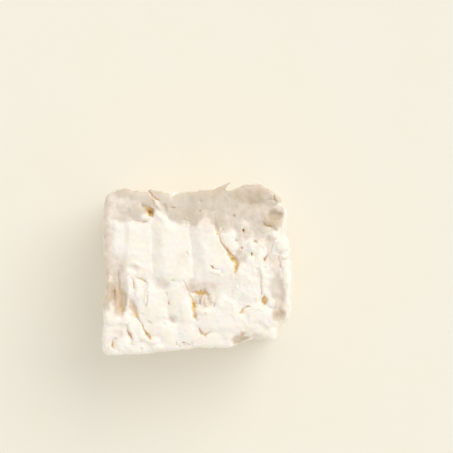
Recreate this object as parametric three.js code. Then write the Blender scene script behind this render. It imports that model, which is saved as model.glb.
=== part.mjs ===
// A block of feta cheese.
// Millimetres, +Z up. +X is the block's long side, +Y its back, and it rests on
// its flat cut base at Z = 0, with the origin under the middle of its box.
//
// The block is one solid. Its shape is an implicit body: four wavy side faces,
// a relief of pressed curd lobes and torn hollows on top, rounded together and
// cut off flat below. The skin mesh is found by walking out from the middle of
// the block, along a fan of rays, to where that body ends.
import * as THREE from "three";

// Driving dimensions
const PLATEAU = 44.0; // height of the top between its lobes
const EDGE_ROUND = 3.0; // rounding between the top and the sides
const CORNER_ROUND = 4.0; // rounding of the upright corners
const BASE_ROUND = 0.7; // small rounding where the sides meet the base
const LEFT_X = -35.2; // flat position of the left face
const RIGHT_X = 34.8; // flat position of the right face
const BACK_Y = 29.2; // flat position of the back face, at x = 0
const BACK_SLOPE = 0.03; // the back face runs slightly out of square
const FRONT_Y = -30.1; // flat position of the front face, at x = 0
const FRONT_SLOPE = 0.0733; // so does the front face
const BROKEN_X = 30.0; // the front right corner is broken off past this x
const BROKEN_Y = -21.6; // and in front of this y, measured at that x
const BROKEN_SLOPE = 0.5; // the break's back wall runs back towards the right
const BROKEN_FLARE = 1.6; // the break runs outwards by this much at the base
const BROKEN_ROUND = 3.6; // rounding of the edges and the inner corner of the break
const BASE_SHARE = 0.45; // share of the bumps and dents that is left at the base
const FINEST = 1.7; // nothing here is sharper than this, so that the facets follow it
const CENTRE_SHIFT = [-0.2, -0.55]; // puts the box's middle over the origin

// Mesh density: cells along X, along Y and up the sides
const NX = 40;
const NY = 36;
const NZ = 14;

// Bumps and dents of the side faces: [position along the face, amount, width]
const LEFT_BUMPS = [
  [-2, 1.3, 7],
  [-12.9, -0.8, 2.8],
];
const RIGHT_BUMPS = [
  [13.6, -1.5, 1.5],
  [-15.3, 0.9, 2.2],
  [-8.5, -0.5, 2.5],
];
const RIGHT_STEP = { y: 12.2, run: 1.4, amount: -2.3 }; // the back part stands further in
const BACK_BUMPS = [
  [22.3, 2.2, 5.5],
  [5.5, 0.8, 5],
  [-27.3, 2.0, 3.2],
  [-17.3, 1.4, 1.9],
  [-8.9, -1.7, 2.1],
];
const FRONT_BUMPS = [[21.5, 2.5, 6.5]];
const BACK_RIGHT_CUT = 41.3; // the back right corner is worn off on a diagonal

// Lobes and hollows of the top: x, y, half width, half length, turn in degrees,
// height (negative for a hollow), softness of the left and of the right flank
const LOBES = [
  // folds left by the draining cloth, each with a soft left and a sharp right flank
  { x: -29.8, y: 12.2, a: 2.1, b: 6.6, turn: 0, h: 0.7, l: 0.5, r: 0.4 },
  { x: -21.6, y: 8.0, a: 4.4, b: 10.5, turn: 3, h: 1.1, l: 0.7, r: 0.22 },
  { x: -8.6, y: 8.5, a: 5.4, b: 10.0, turn: 6, h: 0.9, l: 0.8, r: 0.3 },
  { x: -12.0, y: 17.5, a: 2.0, b: 5.8, turn: 38, h: 0.8, l: 0.6, r: 0.4 },
  { x: 5.0, y: 9.5, a: 4.8, b: 9.8, turn: 14, h: 1.1, l: 0.9, r: 0.2 },
  { x: 11.6, y: 11.0, a: 3.0, b: 4.2, turn: 20, h: 0.7, l: 0.4, r: 0.5 },
  // pressed lumps of curd
  { x: 9.6, y: -18.2, a: 10.4, b: 4.7, turn: -4, h: 1.0, l: 0.3, r: 0.3 },
  { x: 24.0, y: -20.3, a: 5.6, b: 6.3, turn: 0, h: 1.1, l: 0.3, r: 0.3 },
  { x: 28.6, y: -7.6, a: 3.5, b: 9.2, turn: 6, h: 1.1, l: 0.5, r: 0.6 },
  { x: 17.8, y: -6.8, a: 5.4, b: 6.2, turn: 0, h: 0.9, l: 0.4, r: 0.4 },
  { x: -20.9, y: -8.4, a: 2.6, b: 5.6, turn: 5, h: 0.7, l: 0.4, r: 0.3 },
  { x: -31.0, y: -19.4, a: 3.2, b: 2.9, turn: 0, h: 0.8, l: 0.6, r: 0.6 },
  { x: -26.0, y: -19.7, a: 2.6, b: 2.9, turn: 0, h: 0.6, l: 0.6, r: 0.6 },
  { x: -9.3, y: -10.5, a: 4.8, b: 9.2, turn: 12, h: 0.9, l: 0.5, r: 0.25 },
  { x: -15.8, y: -12.0, a: 3.0, b: 7.5, turn: 10, h: 0.6, l: 0.5, r: 0.4 },
  { x: -22.3, y: -24.0, a: 2.0, b: 5.4, turn: 12, h: 0.9, l: 0.4, r: 0.3 },
  { x: -28.6, y: 23.8, a: 3.4, b: 4.2, turn: 0, h: 0.8, l: 0.4, r: 0.5 },
  { x: -22.4, y: 23.8, a: 4.2, b: 4.6, turn: 0, h: 0.9, l: 0.4, r: 0.3 },
  { x: 22.5, y: 25.4, a: 8.6, b: 5.6, turn: 6, h: 1.1, l: 0.6, r: 0.5 },
  { x: 4.0, y: 24.2, a: 13.0, b: 6.0, turn: 0, h: 0.6, l: 0.5, r: 0.6 },
  { x: 20.0, y: 12.6, a: 8.0, b: 7.5, turn: 0, h: 0.5, l: 0.5, r: 0.5 },
  // torn hollows
  { x: -28.6, y: -7.0, a: 3.6, b: 10.0, turn: 2, h: -2.1, l: 0.6, r: 0.6 },
  { x: 4.0, y: -9.4, a: 7.6, b: 4.2, turn: 0, h: -1.5, l: 0.5, r: 0.5 },
  { x: 1.8, y: -8.6, a: 2.9, b: 2.2, turn: 0, h: -1.9, l: 0.5, r: 0.5 },
  { x: -13.8, y: -4.0, a: 2.9, b: 2.7, turn: 0, h: -0.9, l: 0.6, r: 0.6 },
  { x: 16.6, y: -25.0, a: 5.0, b: 3.2, turn: 15, h: -1.2, l: 0.8, r: 0.8 },
  { x: 28.6, y: 19.2, a: 2.7, b: 2.9, turn: 0, h: -1.6, l: 0.6, r: 0.6 },
  { x: 31.0, y: -16.5, a: 1.9, b: 1.9, turn: 0, h: -1.5, l: 0.6, r: 0.6 },
];

// The widest splits of the top, as shallow grooves: path, half width, depth
const GROOVES = [
  { path: [[6.6, 20.1], [9.1, 10.4], [14.4, 2.4], [14.1, -1.5]], w: 1.9, d: 1.3 },
  { path: [[-4.3, -6.0], [-1.2, -12.6], [0.1, -18.4]], w: 1.8, d: 1.1 },
  { path: [[-22.6, -16.1], [-20.2, -20.0], [-16.5, -25.6]], w: 2.2, d: 0.9 },
  { path: [[-15.8, 15.0], [-16.2, 2.0]], w: 1.8, d: 0.5 },
];

const bell = (t, c, w) => Math.exp(-(((t - c) / w) ** 2));
const clamp = (t, lo, hi) => Math.min(hi, Math.max(lo, t));
const step = (lo, hi, t) => {
  const s = clamp((t - lo) / (hi - lo), 0, 1);
  return s * s * (3 - 2 * s);
};
const bumps = (list, t) => list.reduce((sum, [c, amount, w]) => sum + amount * bell(t, c, w), 0);
// The larger of two, rounded over k where they meet
const roundMax = (a, b, k) => {
  const h = Math.max(k - Math.abs(a - b), 0) / k;
  return Math.max(a, b) + (h * h * k) / 4;
};
// Slow unevenness of a cut face, s along it and z up it
const wave = (s, z, p) =>
  0.32 * Math.sin(0.19 * s + 0.24 * z + p) + 0.22 * Math.sin(0.43 * s - 0.31 * z + 2.3 * p);

function lobe(f, x, y) {
  const t = THREE.MathUtils.degToRad(f.turn);
  const u = ((x - f.x) * Math.cos(t) + (y - f.y) * Math.sin(t)) / f.a;
  const v = (-(x - f.x) * Math.sin(t) + (y - f.y) * Math.cos(t)) / f.b;
  const r = (Math.abs(u) ** 3 + Math.abs(v) ** 3) ** (1 / 3);
  if (r > 2) return 0;
  const soft = Math.min(1, Math.max(THREE.MathUtils.lerp(f.l, f.r, clamp(0.5 + u, 0, 1)), FINEST / Math.min(f.a, f.b)));
  return f.h * (1 - step(1 - soft, 1 + soft, r));
}

function toSegment(x, y, [ax, ay], [bx, by]) {
  const dx = bx - ax;
  const dy = by - ay;
  const t = clamp(((x - ax) * dx + (y - ay) * dy) / (dx * dx + dy * dy), 0, 1);
  return Math.hypot(x - ax - t * dx, y - ay - t * dy);
}

function groove(f, x, y) {
  let d = Infinity;
  for (let i = 1; i < f.path.length; i++) d = Math.min(d, toSegment(x, y, f.path[i - 1], f.path[i]));
  return -f.d * Math.exp(-((d / f.w) ** 2));
}

function topHeight(x, y) {
  let z = PLATEAU;
  for (const f of LOBES) z += lobe(f, x, y);
  for (const f of GROOVES) z += groove(f, x, y);
  return z;
}

// Below zero inside the block, above zero outside, near its sides
function sides(x, y, z) {
  const share = BASE_SHARE + (1 - BASE_SHARE) * step(0.3 * PLATEAU, 0.95 * PLATEAU, z);
  const left = LEFT_X + share * bumps(LEFT_BUMPS, y) - wave(y, z, 0.7) - x;
  const set = RIGHT_STEP.amount * step(RIGHT_STEP.y - RIGHT_STEP.run, RIGHT_STEP.y + RIGHT_STEP.run, y);
  const right = x - (RIGHT_X + share * (set + bumps(RIGHT_BUMPS, y)) + wave(y, z, 2.1));
  const back = y - (BACK_Y + BACK_SLOPE * x + share * bumps(BACK_BUMPS, x) + wave(x, z, 3.9));
  const front = FRONT_Y + FRONT_SLOPE * x + share * bumps(FRONT_BUMPS, x) - wave(x, z, 5.2) - y;
  let d = roundMax(roundMax(left, right, CORNER_ROUND), roundMax(front, back, CORNER_ROUND), CORNER_ROUND);
  d = roundMax(d, (x + y) * Math.SQRT1_2 - BACK_RIGHT_CUT, CORNER_ROUND);
  const flare = BROKEN_FLARE * (1 - z / PLATEAU);
  const backWall = (y - BROKEN_Y - BROKEN_SLOPE * (x - BROKEN_X)) / Math.hypot(1, BROKEN_SLOPE);
  const broken = roundMax(BROKEN_X + flare + wave(y, z, 1.3) - x, backWall + flare + wave(x, z, 4.4), BROKEN_ROUND);
  d = roundMax(d, -broken, BROKEN_ROUND);
  return d + BASE_ROUND * (1 - step(0, 1.2, z)) ** 2;
}

const body = (x, y, z) => roundMax(sides(x, y, z), z - topHeight(x, y), EDGE_ROUND);

// Walks from a point inside to one outside and returns where the block ends
function surfaceBetween(inside, outside, field) {
  let lo = 0;
  let hi = 1;
  const p = new THREE.Vector3();
  for (let i = 0; i < 40; i++) {
    const mid = (lo + hi) / 2;
    p.lerpVectors(inside, outside, mid);
    if (field(p.x, p.y, p.z) < 0) lo = mid;
    else hi = mid;
  }
  return p.lerpVectors(inside, outside, (lo + hi) / 2);
}

// Half sizes of the inner and outer box that the rays run between
const CORE = { x: 20, y: 18, z: 27 };
const HULL = { x: 40, y: 37, z: 49 };
const vertices = [];
const faces = [];
const put = (p) => vertices.push(p.x - CENTRE_SHIFT[0], p.y - CENTRE_SHIFT[1], p.z) / 3 - 1;
const quad = (a, b, c, d) => faces.push(a, b, c, a, c, d);

// The rim of the unit square, counter-clockwise seen from above
const rim = [];
for (let i = 0; i < NX; i++) rim.push([-1 + (2 * i) / NX, -1]);
for (let j = 0; j < NY; j++) rim.push([1, -1 + (2 * j) / NY]);
for (let i = 0; i < NX; i++) rim.push([1 - (2 * i) / NX, 1]);
for (let j = 0; j < NY; j++) rim.push([-1, 1 - (2 * j) / NY]);

// Sides: rings of points from the base up to the rim of the top
const rings = [];
for (let k = 0; k <= NZ; k++) {
  const t = k / NZ;
  rings.push(
    rim.map(([a, b]) => {
      const inside = new THREE.Vector3(a * CORE.x, b * CORE.y, t * CORE.z);
      const outside = new THREE.Vector3(a * HULL.x, b * HULL.y, t * HULL.z);
      const p = surfaceBetween(inside, outside, k === 0 ? sides : body);
      if (k === 0) p.z = 0;
      return put(p);
    }),
  );
}
for (let k = 0; k < NZ; k++)
  for (let i = 0; i < rim.length; i++) {
    const n = (i + 1) % rim.length;
    quad(rings[k][i], rings[k][n], rings[k + 1][n], rings[k + 1][i]);
  }

// Top: a grid whose edge is the last ring
const rimIndex = new Map(rim.map(([a, b], i) => [a.toFixed(6) + "," + b.toFixed(6), rings[NZ][i]]));
const grid = [];
for (let j = 0; j <= NY; j++) {
  grid.push([]);
  for (let i = 0; i <= NX; i++) {
    const a = -1 + (2 * i) / NX;
    const b = -1 + (2 * j) / NY;
    const onRim = rimIndex.get(a.toFixed(6) + "," + b.toFixed(6));
    const inside = new THREE.Vector3(a * CORE.x, b * CORE.y, CORE.z);
    const outside = new THREE.Vector3(a * HULL.x, b * HULL.y, HULL.z);
    grid[j].push(onRim ?? put(surfaceBetween(inside, outside, body)));
  }
}
for (let j = 0; j < NY; j++)
  for (let i = 0; i < NX; i++) quad(grid[j][i], grid[j][i + 1], grid[j + 1][i + 1], grid[j + 1][i]);

// Base: flat, a fan of triangles around one point under the middle
const hub = put(new THREE.Vector3(0, 0, 0));
for (let i = 0; i < rim.length; i++) faces.push(hub, rings[0][(i + 1) % rim.length], rings[0][i]);

const geometry = new THREE.BufferGeometry();
geometry.setAttribute("position", new THREE.Float32BufferAttribute(vertices, 3));
geometry.setIndex(faces);
geometry.computeVertexNormals();

const curd = new THREE.MeshStandardMaterial({ color: 0xf7f0e2, roughness: 0.55, metalness: 0 });
const block = new THREE.Mesh(geometry, curd);
block.name = "feta_block";

const root = new THREE.Group();
root.add(block);
export default root;
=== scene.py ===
"""Looks of a block of feta cheese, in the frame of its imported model.

The block is one closed mesh. It is drawn out of a field of distances on a fine grid: four cut sides
and a top of folds, lumps, hollows, pits and splits, each a short formula of named sizes. Sizes are
in millimetres here, as measured from the middle of the top, and are moved into the frame at the end.
"""

import math

import bpy
import numpy as np
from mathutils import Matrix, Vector


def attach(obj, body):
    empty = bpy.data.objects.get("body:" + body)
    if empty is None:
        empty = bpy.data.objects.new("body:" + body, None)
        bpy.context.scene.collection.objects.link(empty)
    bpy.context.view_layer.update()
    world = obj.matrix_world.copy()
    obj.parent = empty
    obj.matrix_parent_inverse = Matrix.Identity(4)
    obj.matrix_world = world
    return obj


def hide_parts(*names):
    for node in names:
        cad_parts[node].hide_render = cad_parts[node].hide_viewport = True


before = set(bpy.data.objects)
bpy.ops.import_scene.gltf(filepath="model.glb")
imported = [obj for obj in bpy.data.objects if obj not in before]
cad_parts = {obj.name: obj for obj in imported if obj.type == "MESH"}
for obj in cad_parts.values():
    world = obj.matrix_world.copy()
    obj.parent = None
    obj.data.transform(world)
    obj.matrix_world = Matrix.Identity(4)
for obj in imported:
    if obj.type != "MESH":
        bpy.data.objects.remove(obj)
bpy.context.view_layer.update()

# ---------------------------------------------------------------- sizes

PLATEAU = 44.0  # height of the top between its lobes
SHIFT = (0.2, 0.55, 0.0)  # from the measured frame to the model's own
STEP = 0.28  # grid step
EDGE_ROUND = 2.4
CORNER_ROUND = 4.0
BASE_ROUND = 0.7
TRIANGLES = 196000
SPLIT_WIDTH, SPLIT_DEPTH = 0.8, 0.5  # share of the width and depth given in SPLITS


def smooth(lo, hi, t):
    s = np.clip((t - lo) / (hi - lo), 0, 1)
    return s * s * (3 - 2 * s)


def round_max(a, b, k):
    h = np.maximum(k - np.abs(a - b), 0) / k
    return np.maximum(a, b) + h * h * (k / 4)


# ---------------------------------------------------------------- noise


def chance(i, j, k, seed):
    """A fixed number from 0 to 1 for every point of a lattice."""
    n = (i * 73856093) ^ (j * 19349663) ^ (k * 83492791) ^ (seed * 2654435761)
    n &= 0xFFFFFFFF
    n = ((n >> 16) ^ n) * 0x45D9F3B & 0xFFFFFFFF
    n = ((n >> 16) ^ n) * 0x45D9F3B & 0xFFFFFFFF
    n = (n >> 16) ^ n
    return (n & 0xFFFFFF).astype(np.float32) / np.float32(0xFFFFFF)


def fade(t):
    return t * t * t * (t * (t * 6 - 15) + 10)


def noise3(x, y, z, seed):
    i, j, k = (np.floor(t).astype(np.int64) for t in (x, y, z))
    u, v, w = fade(x - i), fade(y - j), fade(z - k)
    out = 0
    for a in (0, 1):
        for b in (0, 1):
            for c in (0, 1):
                part = (u if a else 1 - u) * (v if b else 1 - v) * (w if c else 1 - w)
                out = out + part * chance(i + a, j + b, k + c, seed)
    return (2 * out - 1).astype(np.float32)


def noise2(x, y, seed):
    i, j = (np.floor(t).astype(np.int64) for t in (x, y))
    u, v = fade(x - i), fade(y - j)
    zero = np.zeros_like(i)
    out = 0
    for a in (0, 1):
        for b in (0, 1):
            part = (u if a else 1 - u) * (v if b else 1 - v)
            out = out + part * chance(i + a, j + b, zero, seed)
    return (2 * out - 1).astype(np.float32)


def cloud2(x, y, seed, octaves=3, gain=0.5):
    out, amount, f = 0, 1.0, 1.0
    for o in range(octaves):
        out = out + amount * noise2(x * f + 13.7 * o, y * f - 7.1 * o, seed + o)
        amount *= gain
        f *= 2.03
    return out


def plates(x, y, size, seed, tilt, drop, crease, soft):
    """Broken curd: each cell of a jittered grid is a flat facet with its own tilt and level."""
    gx, gy = x / size, y / size
    i0, j0 = np.floor(gx).astype(np.int64), np.floor(gy).astype(np.int64)
    zero = np.zeros_like(i0)
    gaps, levels = [], []
    for a in (-1, 0, 1):
        for b in (-1, 0, 1):
            i, j = i0 + a, j0 + b
            dx = (gx - i - 0.5 - 0.8 * (chance(i, j, zero, seed) - 0.5)) * size
            dy = (gy - j - 0.5 - 0.8 * (chance(i, j, zero, seed + 1) - 0.5)) * size
            gaps.append(np.hypot(dx, dy))
            levels.append(
                drop * (2 * chance(i, j, zero, seed + 4) - 1)
                + tilt * (2 * chance(i, j, zero, seed + 2) - 1) * dx
                + tilt * (2 * chance(i, j, zero, seed + 3) - 1) * dy
            )
    gaps, levels = np.stack(gaps), np.stack(levels)
    nearest = gaps.min(axis=0)
    weight = np.exp(-(gaps - nearest) / soft)
    level = (weight * levels).sum(axis=0) / weight.sum(axis=0)
    second = np.partition(gaps, 1, axis=0)[1]
    return level - crease * np.exp(-(((second - nearest) / (2 * soft + 0.2)) ** 2))


# ---------------------------------------------------------------- relief of the top

# Long folds that the draining cloth left: x, y, half width, half length, turn, height, where its crest
# stands across it from -1 to 1, and how much height is left at its right foot. Each rises in a soft left
# flank and falls slowly to the right, down to the crease before the next one.
RIDGES = [
    (-29.3, 11.2, 2.7, 6.8, 0, 0.8, -0.3, 0.65),
    (-22.6, 7.6, 5.4, 11.8, 1, 1.2, -0.4, 0.4),
    (-10.1, 6.4, 7.1, 12.6, 2, 1.5, -0.25, 0.4),
    (-12.9, 17.9, 2.2, 5.8, 34, 1.15, 0.0, 0.4),
    (5.0, 8.8, 7.4, 13.0, 9, 1.6, -0.3, 0.5),
    (1.9, -1.9, 3.2, 3.6, 10, 0.5, -0.3, 0.2),
    (26.6, -4.2, 4.0, 7.4, 8, 1.2, -0.55, 0.1),
    (33.4, -6.9, 3.4, 9.0, 6, 1.4, 0.35, 0.5),
    (-24.6, -5.7, 1.5, 4.0, 0, 0.8, -0.4, 0.3),
    (-21.4, -7.3, 2.1, 4.2, 8, 0.9, -0.3, 0.2),
    (-17.7, -8.7, 2.2, 5.4, -12, 0.8, -0.3, 0.2),
    (-23.3, -22.7, 1.9, 6.0, 12, 1.1, -0.4, 0.2),
    (-15.1, 24.9, 1.2, 3.4, 28, 1.0, 0.0, 0.3),
]

# Pressed lumps: x, y, half width, half length, turn, height, softness of the edge
LUMPS = [
    (11.3, 3.6, 2.6, 3.6, 30, 0.7, 0.6),
    (-11.3, 0.2, 4.2, 3.0, 10, 0.8, 0.8),
    (-6.0, -2.4, 3.3, 2.6, 10, 1.0, 0.8),
    (11.3, 12.9, 2.7, 2.5, 20, 1.3, 0.35),
    (12.9, 9.0, 2.0, 2.6, 25, 1.0, 0.4),
    (17.9, 11.2, 3.1, 2.5, 10, 0.8, 0.4),
    (21.6, 7.5, 2.2, 2.1, -10, 0.7, 0.4),
    (24.3, 9.6, 1.8, 1.5, 20, 0.6, 0.4),
    (15.7, 5.4, 1.9, 1.8, 0, 0.5, 0.5),
    (22.9, 4.0, 1.6, 1.9, 0, 0.7, 0.4),
    (19.7, 2.2, 3.2, 3.0, 0, 0.7, 0.45),
    (16.8, -1.5, 3.7, 3.8, 15, 0.9, 0.5),
    (19.2, -7.3, 5.0, 4.8, -20, 1.1, 0.5),
    (21.6, -2.0, 1.8, 3.2, 10, 0.6, 0.5),
    (28.2, -12.6, 2.6, 1.8, -25, 1.1, 0.4),
    (32.1, -14.2, 1.9, 2.6, 10, 0.6, 0.5),
    (32.0, 8.5, 2.3, 1.7, 10, 1.5, 0.35),
    (32.8, 5.0, 2.3, 1.0, -8, 0.9, 0.4),
    (33.0, 1.8, 1.8, 1.6, 10, 0.8, 0.4),
    # back right corner
    (27.1, 13.8, 3.0, 1.3, -25, 1.3, 0.4),
    (30.6, 23.9, 1.6, 1.3, 0, 0.8, 0.6),
    (30.2, 16.2, 2.1, 1.2, 0, 0.8, 0.4),
    (22.1, 28.4, 7.6, 3.6, 4, 1.0, 0.6),
    (21.6, 20.9, 5.4, 2.6, -10, 0.6, 0.8),
    (13.1, 23.2, 5.8, 3.4, 10, 0.5, 0.8),
    (2.5, 25.6, 5.6, 3.6, 5, 0.7, 0.7),
    # back left corner
    (-27.0, 24.2, 2.3, 3.0, 0, 0.9, 0.5),
    (-23.1, 22.5, 2.5, 3.2, 10, 1.0, 0.4),
    (-19.4, 19.4, 1.8, 1.1, 0, 1.1, 0.5),
    (-20.8, 26.7, 5.0, 2.1, -12, 0.8, 0.5),
    (-8.1, 21.8, 3.2, 3.2, 0, 0.6, 0.6),
    (-27.1, 28.3, 2.6, 2.1, 0, 0.7, 0.5),
    # front left quarter
    (-31.4, -18.6, 3.4, 2.2, -6, 1.3, 0.45),
    (-26.3, -18.6, 2.3, 2.1, 8, 1.3, 0.4),
    (-31.4, -23.4, 3.2, 3.6, 0, 0.9, 0.7),
    (-20.6, -23.7, 1.7, 3.2, 10, 0.9, 0.4),
    (-27.7, -27.6, 2.8, 2.3, 20, 1.0, 0.4),
    (-22.4, -29.3, 2.9, 1.6, 25, 0.8, 0.4),
    (-32.0, -29.6, 2.4, 2.4, 0, 0.6, 0.5),
    (-16.3, -26.8, 2.5, 1.0, 5, 1.1, 0.4),
    (-14.4, -28.8, 2.3, 1.6, 0, 0.6, 0.5),
    (-22.6, 2.2, 2.4, 0.9, -32, 1.3, 0.4),
    (-16.5, -15.4, 3.9, 4.6, -10, 0.6, 0.7),
    (-13.6, -16.4, 2.2, 2.0, 0, 0.9, 0.4),
    (-14.4, -22.1, 3.2, 2.8, 10, 0.7, 0.5),
    (-6.6, -10.0, 4.0, 5.6, 20, 1.0, 0.6),
    (-4.1, -15.8, 2.7, 5.4, 8, 1.0, 0.5),
    (-8.3, -15.2, 2.2, 2.6, 10, 0.7, 0.6),
    (-3.8, -22.6, 2.9, 2.9, 0, 0.7, 0.5),
    (-9.6, -24.3, 2.8, 2.8, 0, 0.6, 0.5),
    # front middle
    (9.4, -18.6, 9.8, 4.9, -4, 1.1, 0.5),
    (2.6, -15.8, 2.6, 1.2, 4, 1.5, 0.4),
    (10.6, -13.4, 4.4, 2.6, -10, 1.1, 0.5),
    (3.6, -26.2, 5.8, 2.6, 2, 0.6, 0.5),
    (13.1, -24.4, 4.2, 1.8, 10, 0.6, 0.5),
    (6.9, -0.9, 2.6, 0.9, -12, 1.6, 0.4),
    # front right quarter
    (23.7, -16.6, 5.6, 3.6, -4, 1.2, 0.45),
    (26.8, -18.6, 2.6, 3.2, 10, 1.1, 0.4),
    (22.1, -21.8, 3.2, 2.1, -10, 0.8, 0.45),
    (27.1, -24.5, 2.9, 2.2, -8, 1.2, 0.4),
]

# Lumps at the bottom of the torn hollow, on top of what is there
SMALL = [
    (2.3, -11.3, 0.8, 1.6, 0, 1.0, 0.4),
    (3.9, -12.6, 0.75, 1.3, 20, 0.9, 0.4),
    (5.4, -10.6, 0.75, 1.2, -10, 0.7, 0.4),
    (0.6, -11.6, 0.6, 0.9, -10, 0.6, 0.4),
]

# Broad hollows: x, y, half width, half length, turn, depth, softness
HOLLOWS = [
    (-29.2, -8.2, 3.0, 8.6, 4, 1.3, 0.35),
    (-29.8, 1.1, 2.6, 4.2, 0, 0.5, 0.7),
    (-13.8, -5.6, 3.2, 2.0, -8, 1.0, 0.6),
    (2.4, -9.8, 4.4, 3.9, 0, 1.6, 0.5),
    (8.9, -7.0, 3.6, 3.0, 0, 0.5, 0.7),
    (16.0, -25.9, 3.2, 2.0, 24, 2.0, 0.5),
    (29.4, 20.0, 2.7, 1.5, -6, 1.3, 0.4),
    (21.0, 24.7, 3.4, 0.9, 3, 0.4, 0.6),
    (26.8, 9.6, 1.3, 3.4, 0, 0.7, 0.5),
    (-23.9, 0.3, 1.9, 1.2, -15, 0.9, 0.5),
    (-29.2, -23.2, 1.4, 1.6, 0, 0.4, 0.6),
    (15.9, 4.8, 2.6, 2.4, 0, 0.7, 0.5),
    (-9.4, -18.5, 1.3, 1.7, 38, 1.5, 0.6),
    (-31.0, -11.0, 0.8, 2.6, 0, 0.5, 0.6),
    (-22.9, -14.6, 1.1, 3.4, 22, 0.7, 0.6),
    (-2.6, 22.0, 1.2, 5.6, 0, 0.3, 0.8),
    (21.2, 25.6, 3.8, 1.9, 4, 0.5, 0.8),
]

# Pits: x, y, half width, half length, turn, depth, softness
PITS = [
    (-30.9, -8.4, 0.7, 0.6, 0, 0.5, 0.6),
    (-28.6, -11.8, 2.0, 5.0, 3, 0.45, 0.6),
    (-20.9, -29.4, 0.5, 0.5, 0, 0.7, 0.5),
    (-0.7, -12.9, 1.1, 1.4, 10, 0.7, 0.6),
    (17.1, -23.8, 1.1, 0.7, 10, 0.9, 0.5),
    (15.2, -26.6, 2.2, 1.0, 16, 0.5, 0.6),
    (29.2, 20.5, 1.9, 0.7, -6, 0.4, 0.6),
    (28.9, 26.0, 0.5, 1.2, 0, 0.4, 0.5),
    (26.1, 16.3, 1.7, 0.7, -42, 0.5, 0.5),
    (31.0, -16.9, 1.6, 1.3, 15, 0.4, 0.7),
    (25.2, -11.2, 1.0, 1.7, 5, 1.4, 0.5),
    (-11.5, 22.8, 0.9, 1.6, 15, 0.7, 0.6),
    (-8.7, 22.9, 1.1, 0.5, -15, 0.6, 0.5),
    (-11.1, -9.4, 0.7, 0.9, 0, 0.6, 0.5),
    (-10.1, -12.5, 0.55, 1.0, 5, 0.9, 0.5),
    (-17.6, -19.5, 0.7, 0.6, 0, 0.6, 0.5),
    (-25.1, -23.5, 0.6, 0.6, 0, 0.5, 0.5),
    (0.9, 25.2, 0.7, 0.8, 0, 0.3, 0.6),
    (0.8, 21.5, 0.7, 0.45, 0, 0.4, 0.5),
    (10.4, 26.5, 0.6, 0.35, 0, 0.3, 0.5),
    (11.9, 27.2, 0.5, 0.35, 20, 0.3, 0.5),
    (13.8, 19.7, 0.4, 0.75, 0, 0.7, 0.5),
    (17.1, 14.3, 0.42, 0.75, 35, 1.6, 0.45),
    (22.1, 10.2, 0.8, 0.45, 0, 0.8, 0.5),
    (20.2, 5.6, 0.5, 0.85, -15, 1.3, 0.5),
    (16.3, 8.0, 0.5, 0.75, 0, 1.2, 0.5),
    (14.7, 10.6, 0.5, 0.5, 0, 0.8, 0.5),
    (5.4, 0.9, 0.8, 0.6, -20, 0.25, 0.5),
    (-8.8, -4.4, 0.75, 0.4, -10, 0.6, 0.5),
    (-3.8, 6.2, 0.3, 0.8, 30, 0.5, 0.5),
    (6.2, -12.9, 0.5, 1.1, -12, 0.9, 0.5),
    (3.0, -16.2, 0.7, 0.3, 0, 0.6, 0.5),
    (16.0, -6.0, 0.5, 1.0, 0, 0.3, 0.5),
    (13.1, -8.0, 0.45, 0.6, 0, 0.4, 0.5),
    (7.9, 25.4, 0.45, 0.35, 0, 0.3, 0.5),
    (24.6, 11.9, 0.5, 0.4, 0, 0.4, 0.5),
    (18.6, 8.9, 0.4, 0.35, 0, 0.4, 0.5),
    (21.9, 0.3, 0.35, 0.5, 0, 0.4, 0.5),
    (25.6, 0.6, 0.4, 0.5, 0, 0.5, 0.5),
    (-20.4, -17.0, 0.5, 0.5, 0, 0.4, 0.5),
    (-12.2, -20.6, 0.6, 0.5, 20, 0.4, 0.5),
    (-5.6, -24.2, 0.5, 0.4, 0, 0.3, 0.5),
    (-7.5, -27.2, 0.4, 0.35, 0, 0.8, 0.5),
    (-6.3, -28.4, 0.4, 0.35, 0, 0.7, 0.5),
    (-4.9, -27.3, 0.35, 0.45, 0, 0.8, 0.5),
    (-4.2, -28.7, 0.45, 0.3, 0, 0.7, 0.5),
    (-2.1, -27.3, 0.35, 0.3, 0, 0.7, 0.5),
]

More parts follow.
